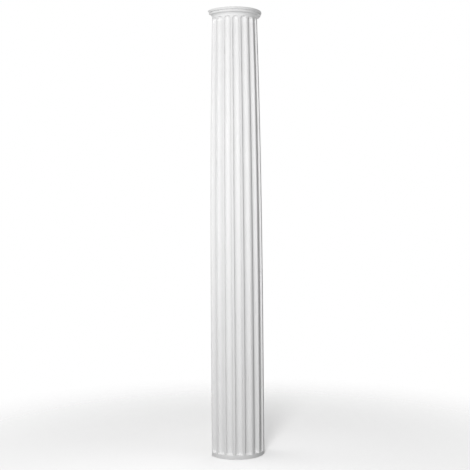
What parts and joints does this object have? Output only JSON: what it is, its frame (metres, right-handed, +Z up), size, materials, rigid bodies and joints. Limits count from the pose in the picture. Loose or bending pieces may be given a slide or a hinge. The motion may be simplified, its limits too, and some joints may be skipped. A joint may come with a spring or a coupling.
{
  "type": "fluted half column shaft",
  "caption": "Fluted half-round column shaft with entasis, a flat back that goes against a wall, a plain band at its foot and a ringed neck that takes a capital.",
  "frame": {"origin": "middle of the underside's box, on the floor, midway between the flat back and the front of the upper ring, the widest part", "axes": "+Z up along the shaft, +Y out of the flat back towards the wall, -Y towards the rounded front, +X to the right seen from the front"},
  "size_m": [0.253, 0.1264, 2],
  "materials": {
    "primed_foam": "rigid moulded foam with a white primer coat, satin to matt"
  },
  "bodies": {
    "root": {"half_column_shaft": "primed_foam"}
  },
  "joints": []
}
